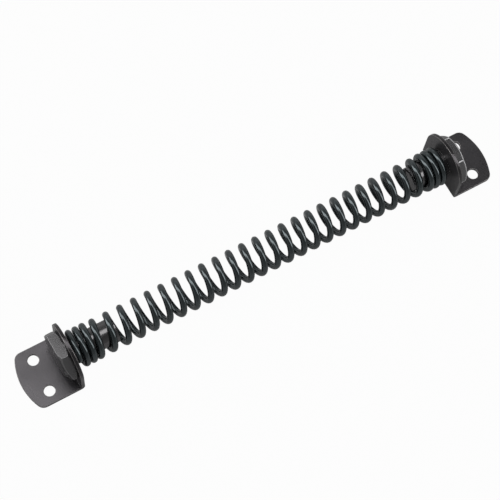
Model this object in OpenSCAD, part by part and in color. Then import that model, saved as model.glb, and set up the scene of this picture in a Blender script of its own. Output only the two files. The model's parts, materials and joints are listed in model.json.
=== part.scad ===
// Gate spring closer: a torsion spring between two screw-on brackets.
// X runs along the spring, Z is up from the mounting plane, and the origin is midway between the brackets.

/* [Overall] */
// Distance between the flanges' outer faces
flange_distance = 284; // [240:1:360]

/* [Brackets] */
// Width of plate and flange
bracket_width = 40; // [38:0.5:52]
// Thickness of the steel sheet
sheet_thickness = 2.4; // [1.5:0.1:4]
// Radius on the inside of the bend
bend_radius = 0.8; // [0.4:0.1:2.4]
// Reach of the plate past the flange's outer face
plate_reach = 33; // [28:0.5:44]
// Radius of the plate's shallow domed end
plate_dome_radius = 41.5; // [36:0.5:70]
// Radius of the corners beside the domed end
plate_corner_radius = 5.5; // [2:0.5:8]
// Rise of the flange's round top centre above the spring's axis
flange_top_rise = 1.5; // [0:0.25:6]

/* [Screw holes] */
// Diameter of a screw hole
hole_diameter = 7.5; // [4:0.25:9]
// Distance between the two holes of a plate
hole_spacing = 23; // [18:0.5:26]
// Distance of the holes from the flange's outer face
hole_offset = 18.8; // [15:0.1:22]

/* [Plugs] */
// Hexagon head across flats
hex_across_flats = 32; // [24:0.5:38]
// Thickness of the hexagon
hex_thickness = 6.5; // [4:0.25:10]
// Depth of the chamfer at the outer face's corners
hex_outer_chamfer = 2.3; // [0.5:0.1:2.8]
// Depth of the chamfer at the inner face's corners
hex_inner_chamfer = 0.7; // [0.3:0.1:1.5]
// Step from the hexagon's flats in to the round collar under it
collar_step = 1.2; // [0.6:0.1:3]
// Length of the left plug's smooth nose past the closed coils
left_nose_length = 17.5; // [6:0.5:24]
// Length of the right plug's smooth nose past the closed coils
right_nose_length = 12; // [6:0.5:24]
// Chamfer on a nose's end
nose_chamfer = 0.8; // [0.4:0.1:2]
// Turn of the right plug from level at rest; the left plug rests against its plate
right_plug_turn = 2; // [-4:0.5:4]

/* [Spring] */
// Wire diameter
wire_diameter = 4.4; // [3:0.1:5]
// Outer diameter of the open coils
coil_outer_diameter = 26; // [22:0.1:30]
// Turns of wire from end to end
coil_turns = 30.75; // [26:0.25:34]
// Turns lying close together at each end
closed_turns = 2.6; // [2:0.05:3]
// Turns over which the pitch grows from closed to open
ramp_turns = 0.75; // [0.5:0.05:1.5]
// Gap between two closed turns
closed_gap = 0.45; // [0.42:0.01:0.8]
// Growth of the coil's diameter where the closed turns are spread over a plug
coil_spread = 0.7; // [0:0.1:1.2]

/* [Clearances] */
// Gap between a level flat of the hexagon and the plate, which lets the plug rock
flat_clearance = 1.2; // [0.4:0.1:2.2]
// Gap left between the hexagon's corner and the plate when the plug is turned against it
stop_gap = 0.07; // [0.05:0.01:0.2]
// Radial play of a journal in its flange
journal_clearance = 0.08; // [0.04:0.01:0.1]
// Gap between a hexagon head and its flange
head_gap = 0.1; // [0.05:0.05:0.3]
// Gap between the closed coils and a plug's seat
seat_clearance = 0.25; // [0.15:0.05:0.5]
// Gap between the open coils and a plug's nose
nose_clearance = 0.3; // [0.2:0.05:1]
// Gap between an end coil and its flange
coil_end_gap = 0.2; // [0.1:0.05:1]

/* [Hidden] */
$fn = 64;

// Sides of a hexagon, and rings to a turn and sides to a ring of the wire
hex_sides = 6;
wire_rings = 8;
wire_sides = 6;
// Cuts run this far past the faces that they open
overcut = 1;
// Angle of the wire's left end about the axis, from the rear (+Y) over the top down to the front
first_angle = 152;
// A hexagon's chamfer falls at this angle to its face
chamfer_angle = 30;

half_width = bracket_width / 2;
// Height of the spring's axis above the mounting plane
axis_height = sheet_thickness + hex_across_flats / 2 + flat_clearance;
// Distance of each flange's outer face from the middle
flange_x = flange_distance / 2;
bend_outer_radius = bend_radius + sheet_thickness;
flange_top_centre = axis_height + flange_top_rise;
flange_height = flange_top_centre + half_width;
dome_centre = plate_reach - plate_dome_radius;
corner_y = half_width - plate_corner_radius;
corner_x = dome_centre + sqrt(pow(plate_dome_radius - plate_corner_radius, 2) - pow(corner_y, 2));
hex_half_angle = 180 / hex_sides;
hex_corner_radius = hex_across_flats / 2 / cos(hex_half_angle);
// Turn of a plug from level until a corner of its hexagon comes down on the plate, where the left one rests
corner_height = axis_height - sheet_thickness - stop_gap;
left_plug_turn = hex_half_angle - acos(min(1, corner_height / hex_corner_radius));
// The collar under a hexagon lifts it past the inside of the bend
collar_thickness = bend_radius;
collar_radius = hex_across_flats / 2 - collar_step;

wire_radius = wire_diameter / 2;
closed_pitch = wire_diameter + closed_gap;
open_radius = coil_outer_diameter / 2 - wire_radius;
closed_radius = open_radius + coil_spread / 2;
// The wire runs straight from ring to ring: its rings lie a little outside the true coil, and the middles
// of its runs as far inside
ring_share = 2 / (1 + cos(180 / wire_rings));
run_share = 2 - ring_share;
// The journal is as wide as the closed coils' bore, and the seat and nose clear the wire's runs
journal_radius = closed_radius - wire_radius;
seat_radius = closed_radius * run_share - wire_radius - seat_clearance;
nose_radius = open_radius * run_share - wire_radius - nose_clearance;
seat_length = coil_end_gap + wire_radius + closed_turns * closed_pitch;
coil_start = -flange_x + sheet_thickness + coil_end_gap + wire_radius;
coil_travel = -2 * coil_start;
open_turns = coil_turns - 2 * closed_turns - 2 * ramp_turns;
open_pitch = (coil_travel - (2 * closed_turns + ramp_turns) * closed_pitch) / (open_turns + ramp_turns);

// Places along the wire, counted in turns from its left end
function turn_to_end(turn) = min(turn, coil_turns - turn);
function ramp_share(turn) = max(0, min(1, (turn_to_end(turn) - closed_turns) / ramp_turns));
function ring_radius(turn) = ring_share * (closed_radius + (open_radius - closed_radius) * ramp_share(turn));
// Advance from the nearer end to a place that lies this many turns from it
function advance(turns) =
    let (ramped = max(0, min(ramp_turns, turns - closed_turns)))
    let (opened = max(0, turns - closed_turns - ramp_turns))
    min(turns, closed_turns) * closed_pitch
    + ramped * closed_pitch + (open_pitch - closed_pitch) * pow(ramped, 2) / (2 * ramp_turns)
    + opened * open_pitch;
function coil_x(turn) =
    turn <= coil_turns / 2 ? coil_start + advance(turn) : -coil_start - advance(coil_turns - turn);
// A left-hand coil turns back as it runs along X
function coil_angle(turn) = first_angle - 360 * turn;
function ring_centre(turn) = [
    coil_x(turn),
    ring_radius(turn) * cos(coil_angle(turn)),
    axis_height + ring_radius(turn) * sin(coil_angle(turn))
];

// Outline of the plate, with a domed end and round corners, as seen from above
module plate_outline() {
    // The dome's sector runs from its centre through the corners' centres, past its rim
    sector_reach = 2 * plate_dome_radius / (plate_dome_radius - plate_corner_radius);
    sector_x = dome_centre + sector_reach * (corner_x - dome_centre);
    sector_y = sector_reach * corner_y;
    translate([-sheet_thickness, -half_width])
        square([corner_x + sheet_thickness, bracket_width]);
    for (side = [-1, 1])
        translate([corner_x, side * corner_y])
            circle(plate_corner_radius);
    intersection() {
        translate([dome_centre, 0])
            circle(plate_dome_radius, $fn = 180);
        polygon([[dome_centre, 0], [sector_x, -sector_y], [sector_x, sector_y]]);
    }
}

// Outline of the flange with its round top, as seen along the spring
module flange_outline() {
    translate([-half_width, 0])
        square([bracket_width, flange_top_centre]);
    translate([0, flange_top_centre])
        circle(half_width, $fn = 120);
}

// Section of the bent sheet, with the plate running out along X and the flange standing up
module bend_section() {
    bend_x = bend_outer_radius - sheet_thickness;
    translate([bend_x, 0])
        square([plate_reach - bend_x, sheet_thickness]);
    translate([-sheet_thickness, bend_outer_radius])
        square([sheet_thickness, flange_height - bend_outer_radius]);
    intersection() {
        translate([-sheet_thickness, 0])
            square(bend_outer_radius);
        difference() {
            translate([bend_x, bend_outer_radius])
                circle(bend_outer_radius);
            translate([bend_x, bend_outer_radius])
                circle(bend_radius);
        }
    }
}

// One bracket, with its flange's outer face at x = 0 and its plate reaching along X
module bracket() {
    difference() {
        intersection() {
            translate([0, half_width, 0])
                rotate([90, 0, 0])
                    linear_extrude(bracket_width)
                        bend_section();
            linear_extrude(flange_height)
                plate_outline();
            translate([-sheet_thickness, 0, 0])
                rotate([90, 0, 90])
                    linear_extrude(plate_reach + sheet_thickness)
                        flange_outline();
        }
        for (side = [-1, 1])
            translate([hole_offset, side * hole_spacing / 2, -overcut])
                cylinder(h = sheet_thickness + 2 * overcut, d = hole_diameter);
        translate([-sheet_thickness - overcut, 0, axis_height])
            rotate([0, 90, 0])
                cylinder(h = sheet_thickness + 2 * overcut, r = journal_radius + journal_clearance);
    }
}

// Hexagon with its corners chamfered at both faces, standing along Z on its inner face
module hexagon() {
    outer_run = hex_outer_chamfer / tan(chamfer_angle);
    inner_run = hex_inner_chamfer / tan(chamfer_angle);
    intersection() {
        cylinder(h = hex_thickness, r = hex_corner_radius, $fn = hex_sides);
        rotate_extrude($fn = 120)
            polygon([
                [0, 0],
                [hex_corner_radius - inner_run, 0],
                [hex_corner_radius, hex_inner_chamfer],
                [hex_corner_radius, hex_thickness - hex_outer_chamfer],
                [hex_corner_radius - outer_run, hex_thickness],
                [0, hex_thickness]
            ]);
    }
}

// Round body of a plug along Z: journal through the flange, seat in the closed coils, and nose
module plug_body(nose_length) {
    journal_end = sheet_thickness + head_gap;
    seat_end = journal_end + seat_length;
    nose_end = seat_end + nose_length;
    rotate_extrude()
        polygon([
            [0, 0],
            [journal_radius, 0],
            [journal_radius, journal_end],
            [seat_radius, journal_end],
            [seat_radius, seat_end],
            [nose_radius, seat_end],
            [nose_radius, nose_end - nose_chamfer],
            [nose_radius - nose_chamfer, nose_end],
            [0, nose_end]
        ]);
}

// One plug in its bracket's place, its flats turned from level by the given angle about X
module plug(turn, nose_length) {
    translate([head_gap, 0, axis_height])
        rotate([turn, 0, 0])
            rotate([0, 90, 0]) {
                cylinder(h = collar_thickness, r = collar_radius);
                translate([0, 0, collar_thickness])
                    rotate([0, 0, hex_half_angle])
                        hexagon();
                mirror([0, 0, 1])
                    plug_body(nose_length);
            }
}

// Wire of the spring: rings set square to the wire, joined by triangles and closed at both ends
module coil_wire() {
    rings = round(coil_turns * wire_rings);
    last = rings - 1;
    centres = [for (i = [0:rings]) ring_centre(i / wire_rings)];
    points = [
        for (i = [0:rings])
            let (along = centres[min(i + 1, rings)] - centres[max(i - 1, 0)])
            let (angle = coil_angle(i / wire_rings))
            let (outward = [0, cos(angle), sin(angle)])
            let (across = cross(along, outward) / norm(cross(along, outward)))
            let (square_out = cross(across, along) / norm(cross(across, along)))
            for (k = [0:wire_sides - 1])
                centres[i] + wire_radius * (cos(360 * k / wire_sides) * square_out
                                            + sin(360 * k / wire_sides) * across)
    ];
    walls = [
        for (i = [0:last])
            for (k = [0:wire_sides - 1])
                let (a = i * wire_sides + k)
                let (b = i * wire_sides + (k + 1) % wire_sides)
                for (face = [[a, a + wire_sides, b], [b, a + wire_sides, b + wire_sides]])
                    face
    ];
    end_ring = rings * wire_sides;
    caps = [
        for (k = [1:wire_sides - 2])
            for (face = [[0, k, k + 1], [end_ring, end_ring + k + 1, end_ring + k]])
                face
    ];
    least = min([
        for (i = [0:rings - wire_rings])
            for (j = [i + wire_rings / 2:min(rings, i + 3 * wire_rings / 2)])
                norm(centres[j] - centres[i])
    ]);
    echo(str("least gap between turns of the spring: ", least - wire_diameter, " mm"));
    polyhedron(points, concat(walls, caps));
}

module left_bracket() {
    color("#6a6c70")
        mirror([1, 0, 0])
            translate([flange_x, 0, 0])
                bracket();
}

module right_bracket() {
    color("#6a6c70")
        translate([flange_x, 0, 0])
            bracket();
}

module left_plug() {
    color("#5a5d60")
        mirror([1, 0, 0])
            translate([flange_x, 0, 0])
                plug(-left_plug_turn, left_nose_length);
}

module right_plug() {
    color("#5a5d60")
        translate([flange_x, 0, 0])
            plug(right_plug_turn, right_nose_length);
}

module spring() {
    color("#26292a")
        coil_wire();
}

left_bracket();
right_bracket();
left_plug();
right_plug();
spring();
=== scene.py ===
import json
import math

import bmesh
import bpy
from mathutils import Matrix, Vector


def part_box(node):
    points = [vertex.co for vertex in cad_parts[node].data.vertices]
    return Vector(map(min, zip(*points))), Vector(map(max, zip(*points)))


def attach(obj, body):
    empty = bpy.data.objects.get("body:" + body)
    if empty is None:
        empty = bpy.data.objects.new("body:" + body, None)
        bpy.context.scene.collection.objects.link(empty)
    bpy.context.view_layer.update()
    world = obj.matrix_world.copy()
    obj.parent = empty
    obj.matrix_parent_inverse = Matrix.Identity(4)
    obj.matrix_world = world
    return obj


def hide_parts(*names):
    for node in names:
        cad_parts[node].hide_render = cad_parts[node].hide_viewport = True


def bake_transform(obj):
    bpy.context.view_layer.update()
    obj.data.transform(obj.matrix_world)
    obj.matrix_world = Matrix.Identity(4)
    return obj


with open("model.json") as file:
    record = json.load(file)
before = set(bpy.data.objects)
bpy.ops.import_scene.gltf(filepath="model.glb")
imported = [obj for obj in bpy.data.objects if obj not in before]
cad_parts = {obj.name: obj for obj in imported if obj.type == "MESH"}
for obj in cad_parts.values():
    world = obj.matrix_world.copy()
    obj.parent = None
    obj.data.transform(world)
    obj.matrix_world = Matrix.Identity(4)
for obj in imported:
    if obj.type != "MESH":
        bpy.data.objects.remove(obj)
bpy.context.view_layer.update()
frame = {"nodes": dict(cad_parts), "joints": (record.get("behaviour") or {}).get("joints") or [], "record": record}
mm = 0.001
print("frame loaded:", sorted(frame["nodes"]))

joints = {joint["name"]: joint for joint in frame["joints"]}
mounts = {mount["name"]: mount for mount in frame["record"]["mounts"]}
axisHeight = joints["spring_twist"]["pos_m"][2]  # height of the spring's axis over the mounting plane
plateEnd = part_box("right_bracket")[1].x  # tip of the right plate
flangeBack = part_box("right_bracket")[0].x  # flange face on the spring's side

meshing = {
    "mergeGap": 0.001 * mm, "cutGap": 0.0001 * mm, "seamGap": 0.01 * mm,
    "smoothAngle": 35, "flatWeight": 80, "edgeSegments": 2,
}


def finishMesh(bm, name, material, smoothAngle=meshing["smoothAngle"]):
    mesh = bpy.data.meshes.new(name)
    bm.to_mesh(mesh)
    bm.free()
    mesh.polygons.foreach_set("use_smooth", [True] * len(mesh.polygons))
    mesh.set_sharp_from_angle(angle=math.radians(smoothAngle))
    mesh.materials.append(material)
    piece = bpy.data.objects.new(name, mesh)
    bpy.context.scene.collection.objects.link(piece)
    return piece


def keepFlatsFlat(piece):
    # the broad faces keep their own normals beside the narrow rounded edges
    normals = piece.modifiers.new("flatFaces", "WEIGHTED_NORMAL")
    normals.keep_sharp = True
    normals.weight = meshing["flatWeight"]


def sharpEdges(bm, angle):
    # edges where two faces meet at more than this many degrees
    return [edge for edge in bm.edges if edge.is_manifold and edge.calc_face_angle() > math.radians(angle)]


def roundEdges(bm, edges, radius, segments=meshing["edgeSegments"]):
    # rounded edges, with their crests marked for the wear mask
    crest = bm.verts.layers.float.get("edgeCrest") or bm.verts.layers.float.new("edgeCrest")
    made = bmesh.ops.bevel(bm, geom=edges, offset=radius, offset_type="OFFSET", segments=segments,
                           profile=0.5, affect="EDGES", clamp_overlap=True, material=-1)
    rounded = set(made["faces"])
    for vert in {v for face in rounded for v in face.verts}:
        if all(face in rounded for face in vert.link_faces):
            vert[crest] = 1.0


def markSleek(bm, isSleek):
    # cut edges and turned faces, where the coat lies smoother
    sleek = bm.faces.layers.float.new("sleekFace")
    for face in bm.faces:
        face[sleek] = float(isSleek(face))


# Shader parts

def newGroup(name, inputs, outputs):
    group = bpy.data.node_groups.new(name, "ShaderNodeTree")
    for direction, socketNames in (("INPUT", inputs), ("OUTPUT", outputs)):
        for socketName in socketNames:
            group.interface.new_socket(socketName, in_out=direction, socket_type="NodeSocketFloat")
    return group, group.nodes.new("NodeGroupInput"), group.nodes.new("NodeGroupOutput")


def addNode(tree, kind, **settings):
    node = tree.nodes.new(kind)
    for key, value in settings.items():
        setattr(node, key, value)
    return node


def feed(tree, socket, value):
    # a socket takes a link or a plain value
    if isinstance(value, bpy.types.NodeSocket):
        tree.links.new(value, socket)
    else:
        socket.default_value = value


def mathNode(tree, operation, first, second, clamp=False):
    node = addNode(tree, "ShaderNodeMath", operation=operation, use_clamp=clamp)
    feed(tree, node.inputs[0], first)
    feed(tree, node.inputs[1], second)
    return node.outputs["Value"]


def rangeNode(tree, value, low, high, fromLow=0.0, fromHigh=1.0):
    node = addNode(tree, "ShaderNodeMapRange")
    tree.links.new(value, node.inputs["Value"])
    node.inputs["From Min"].default_value = fromLow
    node.inputs["From Max"].default_value = fromHigh
    node.inputs["To Min"].default_value = low
    node.inputs["To Max"].default_value = high
    return node.outputs["Result"]


def noiseNode(tree, vector, scale, detail, roughness):
    node = addNode(tree, "ShaderNodeTexNoise")
    tree.links.new(vector, node.inputs["Vector"])
    feed(tree, node.inputs["Scale"], scale)
    node.inputs["Detail"].default_value = detail
    node.inputs["Roughness"].default_value = roughness
    return node.outputs["Fac"]


coatGrain = {
    "pebble": {"detail": 3.0, "roughness": 0.55}, "clouds": {"detail": 4.0, "roughness": 0.6},
    "specks": {"scale": 1600.0, "detail": 1.0, "roughness": 0.4},
    "speckFrom": (0.7, 0.8), "cloudFrom": (0.3, 0.7),  # the noise's values that count as none and full
}


def makeCoatSkin():
    # a sprayed coat: fine pebbling, broad clouds of tone, a few pale specks, and sleek cut or turned faces
    group, given, result = newGroup("coatSkin", ("Pebble Scale", "Cloud Scale"),
                                    ("Tone", "Specks", "Height", "Sleek"))
    place = addNode(group, "ShaderNodeTexCoord").outputs["Object"]
    pebble = noiseNode(group, place, given.outputs["Pebble Scale"], **coatGrain["pebble"])
    clouds = noiseNode(group, place, given.outputs["Cloud Scale"], **coatGrain["clouds"])
    specks = noiseNode(group, place, **coatGrain["specks"])
    specks = rangeNode(group, specks, 0.0, 1.0, *coatGrain["speckFrom"])
    group.links.new(clouds, result.inputs["Tone"])
    group.links.new(specks, result.inputs["Specks"])
    group.links.new(pebble, result.inputs["Height"])
    sleek = addNode(group, "ShaderNodeAttribute", attribute_name="sleekFace").outputs["Fac"]
    group.links.new(sleek, result.inputs["Sleek"])
    return group


edgeWear = {
    "crownFrom": (0.15, 0.6), "patchScale": 260.0,
    "patches": {"detail": 4.0, "roughness": 0.6}, "patchFrom": (0.35, 0.6), "patchTo": (0.45, 1.0),
}


def makeEdgeRub():
    # where handling has rubbed the crests of the edges
    group, given, result = newGroup("edgeRub", ("Amount",), ("Mask",))
    crest = addNode(group, "ShaderNodeAttribute", attribute_name="edgeCrest").outputs["Fac"]
    place = addNode(group, "ShaderNodeTexCoord").outputs["Object"]
    patches = noiseNode(group, place, edgeWear["patchScale"], **edgeWear["patches"])
    patches = rangeNode(group, patches, *edgeWear["patchTo"], *edgeWear["patchFrom"])
    crown = rangeNode(group, crest, 0.0, 1.0, *edgeWear["crownFrom"])
    rub = mathNode(group, "MULTIPLY", crown, patches)
    group.links.new(mathNode(group, "MULTIPLY", rub, given.outputs["Amount"], True), result.inputs["Mask"])
    return group


coatSkin = makeCoatSkin()
edgeRub = makeEdgeRub()


def placeGroup(tree, group, **values):
    node = addNode(tree, "ShaderNodeGroup", node_tree=group)
    for key, value in values.items():
        node.inputs[key].default_value = value
    return node


def mixColours(tree, factor, first, second):
    node = addNode(tree, "ShaderNodeMix", data_type="RGBA")
    tree.links.new(factor, node.inputs["Factor"])
    for socket, colour in ((node.inputs["A"], first), (node.inputs["B"], second)):
        feed(tree, socket, (*colour, 1.0) if isinstance(colour, tuple) else colour)
    return node.outputs["Result"]


def coatMaterial(name, look):
    material = bpy.data.materials.new(name)
    material.use_nodes = True
    tree = material.node_tree
    shader = tree.nodes["Principled BSDF"]
    grain = {"Pebble Scale": look["pebbleScale"], "Cloud Scale": look["cloudScale"]}
    skin = placeGroup(tree, coatSkin, **grain)
    rub = placeGroup(tree, edgeRub, Amount=look["rubAmount"])
    base = mixColours(tree, skin.outputs["Tone"], look["deep"], look["pale"])
    base = mixColours(tree, skin.outputs["Sleek"], base, look["sleek"])
    dust = mathNode(tree, "MULTIPLY", skin.outputs["Specks"], look["speckShare"])
    dusty = mixColours(tree, dust, base, look["speck"])
    worn = mixColours(tree, rub.outputs["Mask"], dusty, look["rubbed"])
    tree.links.new(worn, shader.inputs["Base Color"])
    bare = mathNode(tree, "MULTIPLY", rub.outputs["Mask"], look["bareShare"])
    tree.links.new(bare, shader.inputs["Metallic"])
    gloss = rangeNode(tree, skin.outputs["Tone"], look["smooth"], look["rough"], *coatGrain["cloudFrom"])
    sleekness = rangeNode(tree, skin.outputs["Sleek"], 1.0, look["sleekRoughness"])
    tree.links.new(mathNode(tree, "MULTIPLY", gloss, sleekness), shader.inputs["Roughness"])
    bump = addNode(tree, "ShaderNodeBump")
    bump.inputs["Strength"].default_value = look["pebbleStrength"]
    bump.inputs["Distance"].default_value = look["pebbleDepth"]
    tree.links.new(skin.outputs["Height"], bump.inputs["Height"])
    tree.links.new(bump.outputs["Normal"], shader.inputs["Normal"])
    shader.inputs["IOR"].default_value = look["ior"]
    shader.inputs["Specular Tint"].default_value = (*look["gleam"], 1.0)
    return material


bracketLook = {
    "deep": (0.024, 0.0235, 0.025), "pale": (0.038, 0.037, 0.039), "speck": (0.16, 0.16, 0.165),
    "sleek": (0.010, 0.010, 0.010), "sleekRoughness": 0.6,
    "rubbed": (0.45, 0.43, 0.42), "bareShare": 1.0, "speckShare": 0.25, "rubAmount": 0.6,
    "smooth": 0.25, "rough": 0.37, "ior": 1.62, "gleam": (1.0, 0.95, 1.0),
    "pebbleScale": 1100.0, "cloudScale": 45.0, "pebbleStrength": 0.25, "pebbleDepth": 0.2 * mm,
}
plugLook = {
    "deep": (0.014, 0.0145, 0.015), "pale": (0.026, 0.0265, 0.027), "speck": (0.10, 0.10, 0.105),
    "sleek": (0.010, 0.010, 0.0105), "sleekRoughness": 0.6,
    "rubbed": (0.72, 0.72, 0.73), "bareShare": 0.3, "speckShare": 0.25,
    "rubAmount": {"left": 0.14, "right": 1.0},
    "smooth": 0.23, "rough": 0.33, "ior": 2.1, "gleam": (1.0, 0.98, 1.0),
    "pebbleScale": 1000.0, "cloudScale": 70.0, "pebbleStrength": 0.08, "pebbleDepth": 0.2 * mm,
}
springLook = {
    "deep": (0.005, 0.007, 0.0075), "pale": (0.010, 0.013, 0.0135), "speck": (0.08, 0.085, 0.085),
    "sleek": (0.006, 0.007, 0.007), "sleekRoughness": 1.0,
    "rubbed": (0.10, 0.10, 0.10), "bareShare": 0.5, "speckShare": 0.2, "rubAmount": 0.5,
    "smooth": 0.10, "rough": 0.16, "ior": 1.85, "gleam": (0.84, 0.96, 1.0),
    "pebbleScale": 700.0, "cloudScale": 60.0, "pebbleStrength": 0.08, "pebbleDepth": 0.2 * mm,
}
bracketCoat = coatMaterial("bracketCoat", bracketLook)
plugCoats = {side: coatMaterial(side + "PlugCoat", {**plugLook, "rubAmount": amount})
             for side, amount in plugLook["rubAmount"].items()}
springCoat = coatMaterial("springCoat", springLook)
print("coats mixed")


# Brackets: a flat blank is cut out, its edges are eased, and it is folded up at the bend

bracketSizes = {
    "thickness": 2.4 * mm, "bendRadius": 0.8 * mm, "bendCuts": 8, "edgeRadius": 0.35 * mm,
    "domeRadius": 41.5 * mm, "cornerRadius": 5.5 * mm, "flangeRise": 1.5 * mm,
    "boreRadius": 9.03 * mm, "arcSteps": 16, "holeSegments": 48, "boreSegments": 80,
    "rimAngle": 60, "cutEdgeTilt": 0.5,  # cut edges are the faces whose normals rise less than this
}


def cutBlank(sizes):
    # along X: the plate lies before the bend (X < 0), and the flange after it
    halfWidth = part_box("right_bracket")[1].y
    thickness, bendRadius = sizes["thickness"], sizes["bendRadius"]
    flangeFace = flangeBack + thickness
    plateLength = plateEnd - flangeFace - bendRadius
    bendLength = (bendRadius + thickness / 2) * math.pi / 2
    foldTop = bendRadius + thickness
    boreAt = bendLength + axisHeight - foldTop
    topCentre = boreAt + sizes["flangeRise"]
    cornerY = halfWidth - sizes["cornerRadius"]
    reach = sizes["domeRadius"] - sizes["cornerRadius"]
    domeTurn = math.asin(cornerY / reach)
    domeCentre = sizes["domeRadius"] - plateLength
    cornerCentre = Vector((domeCentre - reach * math.cos(domeTurn), cornerY, 0))

    bm = bmesh.new()
    tip = bm.verts.new((-plateLength, 0, 0))

    def arc(vert, centre, turn):
        made = bmesh.ops.spin(bm, geom=[vert], cent=centre, axis=(0, 0, -1), angle=turn,
                              steps=sizes["arcSteps"])
        return next(item for item in made["geom_last"] if isinstance(item, bmesh.types.BMVert))

    vert = arc(tip, (domeCentre, 0, 0), domeTurn)
    vert = arc(vert, cornerCentre, math.pi / 2 - domeTurn)
    made = bmesh.ops.extrude_vert_indiv(bm, verts=[vert])
    vert = made["verts"][0]
    bmesh.ops.translate(bm, verts=[vert], vec=(topCentre - vert.co.x, 0, 0))
    arc(vert, (topCentre, 0, 0), math.pi / 2)
    bmesh.ops.mirror(bm, geom=bm.verts[:] + bm.edges[:], axis="Y", merge_dist=meshing["seamGap"])
    bmesh.ops.remove_doubles(bm, verts=bm.verts[:], dist=meshing["mergeGap"])

    screws = mounts["right_screws"]
    holeAt = flangeFace + bendRadius - screws["pos_m"][0]
    holeY = screws["dims"]["spacing_y_mm"] / 2 * mm
    holeRadius = screws["dims"]["hole_r_mm"] * mm
    for x, y, radius, segments in ((holeAt, holeY, holeRadius, sizes["holeSegments"]),
                                   (holeAt, -holeY, holeRadius, sizes["holeSegments"]),
                                   (boreAt, 0, sizes["boreRadius"], sizes["boreSegments"])):
        bmesh.ops.create_circle(bm, cap_ends=False, radius=radius, segments=segments,
                                matrix=Matrix.Translation((x, y, 0)))
    bmesh.ops.triangle_fill(bm, use_beauty=True, use_dissolve=False, edges=bm.edges[:])
    for cut in range(sizes["bendCuts"] + 1):
        bmesh.ops.bisect_plane(bm, geom=bm.verts[:] + bm.edges[:] + bm.faces[:], dist=meshing["cutGap"],
                               plane_co=(bendLength * cut / sizes["bendCuts"], 0, 0), plane_no=(1, 0, 0))
    bmesh.ops.recalc_face_normals(bm, faces=bm.faces[:])
    made = bmesh.ops.extrude_face_region(bm, geom=bm.faces[:])
    lifted = [item for item in made["geom"] if isinstance(item, bmesh.types.BMVert)]
    bmesh.ops.translate(bm, verts=lifted, vec=(0, 0, thickness))
    bmesh.ops.recalc_face_normals(bm, faces=bm.faces[:])
    markSleek(bm, lambda face: abs(face.normal.z) < sizes["cutEdgeTilt"])
    roundEdges(bm, sharpEdges(bm, sizes["rimAngle"]), sizes["edgeRadius"])
    return bm, bendLength, flangeFace


def foldBlank(bm, sizes, bendLength, flangeFace):
    # the blank's lower face becomes the outside of the bend
    foldRadius = sizes["bendRadius"] + sizes["thickness"]
    centre = Vector((flangeFace + sizes["bendRadius"], 0, foldRadius))
    for vert in bm.verts:
        run = min(max(vert.co.x, 0), bendLength)
        beyond = vert.co.x - run
        turn = run / bendLength * math.pi / 2
        inward = Vector((math.sin(turn), 0, math.cos(turn)))
        forward = Vector((-math.cos(turn), 0, math.sin(turn)))
        place = centre - inward * (foldRadius - vert.co.z) + forward * beyond
        vert.co = Vector((place.x, vert.co.y, place.z))


def makeBracket(side, sizes):
    bm, bendLength, flangeFace = cutBlank(sizes)
    foldBlank(bm, sizes, bendLength, flangeFace)
    if side == "left":
        bmesh.ops.scale(bm, verts=bm.verts[:], vec=(-1, 1, 1))
    bmesh.ops.recalc_face_normals(bm, faces=bm.faces[:])
    piece = finishMesh(bm, side + "BracketSheet", bracketCoat)
    keepFlatsFlat(piece)
    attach(piece, side + "_bracket")
    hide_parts(side + "_bracket")


for side in ("left", "right"):
    makeBracket(side, bracketSizes)
print("brackets folded")


# Plugs: a round blank is turned, and six flats are cut on its head

plugSizes = {
    "headGap": 0.1 * mm, "collar": 0.8 * mm, "collarRadius": 14.8 * mm,
    "flats": 6, "acrossFlats": 32 * mm, "headThickness": 6.5 * mm,
    "outerChamfer": 2.3 * mm, "innerChamfer": 0.668 * mm, "chamferAngle": 30, "journalRadius": 8.95 * mm,
    "seatRadius": 8.8 * mm, "seatLength": 15 * mm, "noseRadius": 8.45 * mm, "noseChamfer": 0.8 * mm,
    "spinSteps": 96, "spareStock": 0.5 * mm, "headMargin": 0.01 * mm,
    "cornerAngle": 18, "crispAngle": 40, "headSegments": 3, "smallRadius": 0.1 * mm,
    # the left head's outer chamfer is off centre, so its rim runs out over two flats between these angles
    "left": {"noseLength": 17.5 * mm, "turn": 8, "rimMeets": (-15, 26.25), "edgeRadius": 0.4 * mm},
    "right": {"noseLength": 12 * mm, "turn": 2, "edgeRadius": 0.7 * mm},
}


def rimOf(sizes, own, corner, slope):
    # radius of the head's outer face, and how far its centre lies towards the first corner
    if "rimMeets" not in own:
        return corner - sizes["outerChamfer"] / slope, 0
    flat = sizes["acrossFlats"] / 2
    near, far = (flat * math.tan(math.radians(angle)) for angle in own["rimMeets"])
    shift = near + far
    return math.hypot(flat - shift * math.cos(math.pi / sizes["flats"]), (far - near) / 2), shift


def shiftChamfer(bm, sizes, shift, headTop, faceRadius, corner, slope):
    # each vertex keeps to its own radial line, so that the flats still meet the steps of the spin
    halfTurn = math.pi / sizes["flats"]
    aside = Vector((0, -math.sin(halfTurn), math.cos(halfTurn))) * shift
    middle = headTop - sizes["headThickness"] / 2
    for vert in bm.verts:
        spoke = Vector((0, vert.co.y, vert.co.z))
        if vert.co.x < middle or spoke.length < meshing["mergeGap"]:
            continue
        outward = spoke.normalized()
        lean = outward.dot(aside)
        if spoke.length < corner:
            rim = lean + math.sqrt(faceRadius ** 2 + lean ** 2 - shift ** 2)
            vert.co = outward * rim + Vector((headTop, 0, 0))
        else:
            vert.co.x = headTop - ((spoke - aside).length - faceRadius) * slope


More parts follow.
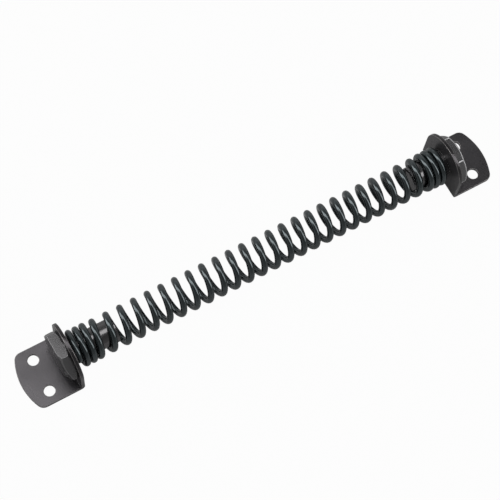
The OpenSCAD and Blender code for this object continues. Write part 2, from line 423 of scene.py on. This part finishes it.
def turnPlug(sizes, own):
    # profile along X from the head's outer face, as (distance from the flange face, radius)
    # the spare stock beyond the hexagon's corners goes when the flats are cut, and the inner chamfer's foot
    # meets the flats on a step of the spin
    corner = sizes["acrossFlats"] / 2 / math.cos(math.pi / sizes["flats"])
    slope = math.tan(math.radians(sizes["chamferAngle"]))
    spare = sizes["spareStock"]
    headFoot = sizes["headGap"] + sizes["collar"]
    headTop = headFoot + sizes["headThickness"]
    seatStart = -bracketSizes["thickness"]
    noseStart = seatStart - sizes["seatLength"]
    noseEnd = noseStart - own["noseLength"]
    faceRadius, shift = rimOf(sizes, own, corner, slope)
    chamfer = (corner - faceRadius) * slope
    profile = (
        (headTop, 0), (headTop, faceRadius),
        (headTop - chamfer - spare * slope, corner + spare),
        (headFoot + sizes["innerChamfer"] + spare * slope, corner + spare),
        (headFoot, corner - sizes["innerChamfer"] / slope),
        (headFoot, sizes["collarRadius"]), (sizes["headGap"], sizes["collarRadius"]),
        (sizes["headGap"], sizes["journalRadius"]), (seatStart, sizes["journalRadius"]),
        (seatStart, sizes["seatRadius"]), (noseStart, sizes["seatRadius"]),
        (noseStart, sizes["noseRadius"]), (noseEnd + sizes["noseChamfer"], sizes["noseRadius"]),
        (noseEnd, sizes["noseRadius"] - sizes["noseChamfer"]), (noseEnd, 0))
    bm = bmesh.new()
    chain = [bm.verts.new((x, 0, radius)) for x, radius in profile]
    edges = [bm.edges.new(pair) for pair in zip(chain, chain[1:])]
    bmesh.ops.spin(bm, geom=chain + edges, cent=(0, 0, 0), axis=(1, 0, 0), angle=2 * math.pi,
                   steps=sizes["spinSteps"], use_merge=True)
    bmesh.ops.remove_doubles(bm, verts=bm.verts[:], dist=meshing["mergeGap"])
    shiftChamfer(bm, sizes, shift, headTop, faceRadius, corner, slope)
    bmesh.ops.recalc_face_normals(bm, faces=bm.faces[:])
    return bm


def cutFlats(bm, sizes, turn):
    for flat in range(sizes["flats"]):
        angle = math.radians(360 / sizes["flats"] * flat)
        outward = Vector((0, -math.sin(angle), math.cos(angle)))
        made = bmesh.ops.bisect_plane(bm, geom=bm.verts[:] + bm.edges[:] + bm.faces[:],
                                      dist=meshing["cutGap"], plane_co=outward * sizes["acrossFlats"] / 2,
                                      plane_no=outward, clear_outer=True)
        rim = [item for item in made["geom_cut"] if isinstance(item, bmesh.types.BMEdge)]
        bmesh.ops.edgeloop_fill(bm, edges=rim)
    bmesh.ops.remove_doubles(bm, verts=bm.verts[:], dist=meshing["mergeGap"])
    bmesh.ops.recalc_face_normals(bm, faces=bm.faces[:])
    bmesh.ops.rotate(bm, verts=bm.verts[:], cent=(0, 0, 0),
                     matrix=Matrix.Rotation(math.radians(turn), 3, "X"))


def makePlug(side, sizes):
    bm = turnPlug(sizes, sizes[side])
    cutFlats(bm, sizes, sizes[side]["turn"])
    markSleek(bm, lambda face: face.calc_center_median().x < 0)
    corners = sharpEdges(bm, sizes["cornerAngle"])
    headEdge = sizes["headGap"] + sizes["collar"] + sizes["innerChamfer"] - sizes["headMargin"]
    head = {edge for edge in corners if min(vert.co.x for vert in edge.verts) > headEdge}
    # the shallow rim of the outer face stays as it is
    crisp = [edge for edge in sharpEdges(bm, sizes["crispAngle"]) if edge in head]
    roundEdges(bm, crisp, sizes[side]["edgeRadius"], sizes["headSegments"])
    rest = [edge for edge in corners if edge.is_valid and edge not in head]
    roundEdges(bm, rest, sizes["smallRadius"])
    flangeFace = flangeBack + bracketSizes["thickness"]
    bmesh.ops.translate(bm, verts=bm.verts[:], vec=(flangeFace, 0, axisHeight))
    if side == "left":
        bmesh.ops.rotate(bm, verts=bm.verts[:], cent=(0, 0, axisHeight),
                         matrix=Matrix.Rotation(math.pi, 3, "Z"))
    bmesh.ops.recalc_face_normals(bm, faces=bm.faces[:])
    piece = finishMesh(bm, side + "PlugTurned", plugCoats[side])
    keepFlatsFlat(piece)
    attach(piece, side + "_plug")
    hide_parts(side + "_plug")


for side in ("left", "right"):
    makePlug(side, plugSizes)
print("plugs turned")


# Spring: the wire's round section is spun along the axis, closely at the ends and openly between

springSizes = {
    "wireRadius": 2.2 * mm, "openRadius": 10.8 * mm, "closedRadius": 11.15 * mm,
    "turns": 30.75, "closedTurns": 2.6, "rampTurns": 0.75, "closedPitch": 4.85 * mm, "endGap": 0.2 * mm,
    "firstAngle": 152, "stepsPerTurn": 40, "rampStages": 15, "wireSides": 18, "endRadius": 0.5 * mm,
    "endAngle": 60, "smoothAngle": 50,
}


def makeSpring(sizes):
    start = -flangeBack + sizes["endGap"] + sizes["wireRadius"]
    ramp, closed, turns = sizes["rampTurns"], sizes["closedTurns"], sizes["turns"]
    openTurns = turns - 2 * (closed + ramp)
    closedPitch = sizes["closedPitch"]
    openPitch = (-2 * start - (2 * closed + ramp) * closedPitch) / (openTurns + ramp)

    def outwardAt(turn):
        angle = math.radians(sizes["firstAngle"] - 360 * turn)
        return Vector((0, math.cos(angle), math.sin(angle)))

    bm = bmesh.new()
    along, outward = Vector((1, 0, 0)), outwardAt(0)
    facing = Matrix((along, outward, outward.cross(along))).transposed().to_4x4()
    centre = Vector((start, 0, axisHeight)) + outward * sizes["closedRadius"]
    made = bmesh.ops.create_circle(bm, cap_ends=False, radius=sizes["wireRadius"],
                                   segments=sizes["wireSides"], matrix=Matrix.Translation(centre) @ facing)
    firstRing = made["verts"]

    def wind(ring, length, pitch):
        # the ring is left-hand wound on by this many turns
        steps = math.ceil(length * sizes["stepsPerTurn"])
        made = bmesh.ops.spin(bm, geom=ring, cent=(0, 0, axisHeight), axis=(-1, 0, 0), steps=steps,
                              angle=2 * math.pi * length, dvec=(pitch * length / steps, 0, 0))
        return made["geom_last"]

    ring = firstRing + bm.edges[:]
    ring = wind(ring, closed, closedPitch)
    stages = sizes["rampStages"]
    for stage in range(stages):
        pitch = closedPitch + (openPitch - closedPitch) * (stage + 0.5) / stages
        ring = wind(ring, ramp / stages, pitch)
        verts = [item for item in ring if isinstance(item, bmesh.types.BMVert)]
        growth = (sizes["openRadius"] - sizes["closedRadius"]) / stages
        bmesh.ops.translate(bm, verts=verts, vec=outwardAt(closed + ramp * (stage + 1) / stages) * growth)
    wind(ring, openTurns / 2, openPitch)
    bm.faces.new(firstRing)
    # the other half is the same, turned end for end about the middle of the wire
    made = bmesh.ops.duplicate(bm, geom=bm.verts[:] + bm.edges[:] + bm.faces[:])
    verts = [item for item in made["geom"] if isinstance(item, bmesh.types.BMVert)]
    bmesh.ops.rotate(bm, verts=verts, cent=(0, 0, axisHeight),
                     matrix=Matrix.Rotation(math.pi, 3, outwardAt(turns / 2)))
    bmesh.ops.remove_doubles(bm, verts=bm.verts[:], dist=meshing["seamGap"])
    bmesh.ops.recalc_face_normals(bm, faces=bm.faces[:])
    markSleek(bm, lambda face: len(face.verts) == sizes["wireSides"])
    roundEdges(bm, sharpEdges(bm, sizes["endAngle"]), sizes["endRadius"])
    piece = finishMesh(bm, "springWire", springCoat, sizes["smoothAngle"])
    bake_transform(piece)
    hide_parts("spring")


makeSpring(springSizes)
print("spring wound")


# Studio

studio = {
    "floorSize": 6.0, "floorDrop": 0.2 * mm, "floorColour": (0.42, 0.42, 0.42),
    "floorLift": 0.97, "mirrorLift": 0.1,
    "horizon": 0.34, "zenith": 0.06, "heightFrom": (0.05, 0.85),
    "front": 0.6, "back": 1.8, "depthFrom": (-0.7, 0.7),
    # strip lights from the left rear, over the top, to the right front
    "lampAzimuth": 135, "lampDistance": 1.2,
    "leftStrip": {"elevation": 28, "aside": -0.03, "size": (0.54, 1.3), "power": 6.0},
    "topStrip": {"elevation": 78, "aside": 0.15, "size": (0.48, 1.08), "power": 4.4},
    "rightStrip": {"elevation": 135, "aside": 0.04, "size": (0.45, 1.42), "power": 5.8},
}


def whiteShare(tree, lift):
    # how white the camera, and more faintly mirrors and glass, see the backdrop
    rays = addNode(tree, "ShaderNodeLightPath")
    seen = mathNode(tree, "MULTIPLY", rays.outputs["Is Camera Ray"], lift)
    mirrored = mathNode(tree, "MAXIMUM", rays.outputs["Is Glossy Ray"], rays.outputs["Is Transmission Ray"])
    return mathNode(tree, "MAXIMUM", seen, mathNode(tree, "MULTIPLY", mirrored, studio["mirrorLift"]))


def makeFloor():
    bm = bmesh.new()
    bmesh.ops.create_grid(bm, x_segments=1, y_segments=1, size=studio["floorSize"] / 2)
    material = bpy.data.materials.new("paleFloor")
    material.use_nodes = True
    tree = material.node_tree
    tree.nodes.remove(tree.nodes["Principled BSDF"])
    matt = addNode(tree, "ShaderNodeBsdfDiffuse")
    matt.inputs["Color"].default_value = (*studio["floorColour"], 1)
    # the floor is lifted towards white, with the shadow left on it
    glow = addNode(tree, "ShaderNodeEmission")
    mix = addNode(tree, "ShaderNodeMixShader")
    tree.links.new(whiteShare(tree, studio["floorLift"]), mix.inputs["Fac"])
    tree.links.new(matt.outputs["BSDF"], mix.inputs[1])
    tree.links.new(glow.outputs["Emission"], mix.inputs[2])
    tree.links.new(mix.outputs["Shader"], tree.nodes["Material Output"].inputs["Surface"])
    floor = finishMesh(bm, "floor", material)
    floor.location.z = -studio["floorDrop"]


def makeWorld():
    world = bpy.data.worlds.new("studio")
    bpy.context.scene.world = world
    world.use_nodes = True
    tree = world.node_tree
    air = tree.nodes["Background"]
    place = addNode(tree, "ShaderNodeTexCoord").outputs["Generated"]
    split = addNode(tree, "ShaderNodeSeparateXYZ")
    tree.links.new(place, split.inputs["Vector"])
    # paler towards the horizon and towards the back
    height = rangeNode(tree, split.outputs["Z"], studio["horizon"], studio["zenith"], *studio["heightFrom"])
    depth = rangeNode(tree, split.outputs["Y"], studio["front"], studio["back"], *studio["depthFrom"])
    tree.links.new(mathNode(tree, "MULTIPLY", height, depth), air.inputs["Strength"])
    air.inputs["Color"].default_value = (1, 1, 1, 1)
    white = addNode(tree, "ShaderNodeBackground")
    white.inputs["Color"].default_value = (1, 1, 1, 1)
    mix = addNode(tree, "ShaderNodeMixShader")
    tree.links.new(whiteShare(tree, 1.0), mix.inputs["Fac"])
    tree.links.new(air.outputs["Background"], mix.inputs[1])
    tree.links.new(white.outputs["Background"], mix.inputs[2])
    tree.links.new(mix.outputs["Shader"], tree.nodes["World Output"].inputs["Surface"])


def makeLamp(name):
    strip = studio[name]
    elevation, azimuth = math.radians(strip["elevation"]), math.radians(studio["lampAzimuth"])
    towards = Vector((math.cos(elevation) * math.cos(azimuth), math.cos(elevation) * math.sin(azimuth),
                      math.sin(elevation)))
    lamp = bpy.data.lights.new(name, "AREA")
    lamp.shape = "RECTANGLE"
    lamp.size, lamp.size_y = strip["size"]
    lamp.energy = strip["power"]
    holder = bpy.data.objects.new(name, lamp)
    aside = Vector((math.sin(azimuth), -math.cos(azimuth), 0))
    holder.location = towards * studio["lampDistance"] + aside * strip["aside"]
    holder.rotation_euler = (-towards).to_track_quat("-Z", "Y").to_euler()
    bpy.context.scene.collection.objects.link(holder)


makeFloor()
makeWorld()
for name in ("leftStrip", "topStrip", "rightStrip"):
    makeLamp(name)
bpy.context.scene.view_settings.view_transform = "Standard"

camera = {
    "place": (-0.2381, -0.2849, 0.9668), "aim": (-0.0053, 0.0064, 0.0196), "roll": 9.8,
    "lens": 112.6, "sensor": 36,
}
eye = bpy.data.objects.new("camera", bpy.data.cameras.new("camera"))
eye.data.lens = camera["lens"]
eye.data.sensor_width = camera["sensor"]
gaze = (Vector(camera["aim"]) - Vector(camera["place"])).to_track_quat("-Z", "Y").to_matrix().to_4x4()
eye.matrix_world = (Matrix.Translation(camera["place"]) @ gaze
                    @ Matrix.Rotation(math.radians(camera["roll"]), 4, "Z"))
bpy.context.scene.collection.objects.link(eye)
bpy.context.scene.camera = eye
print("studio lit")
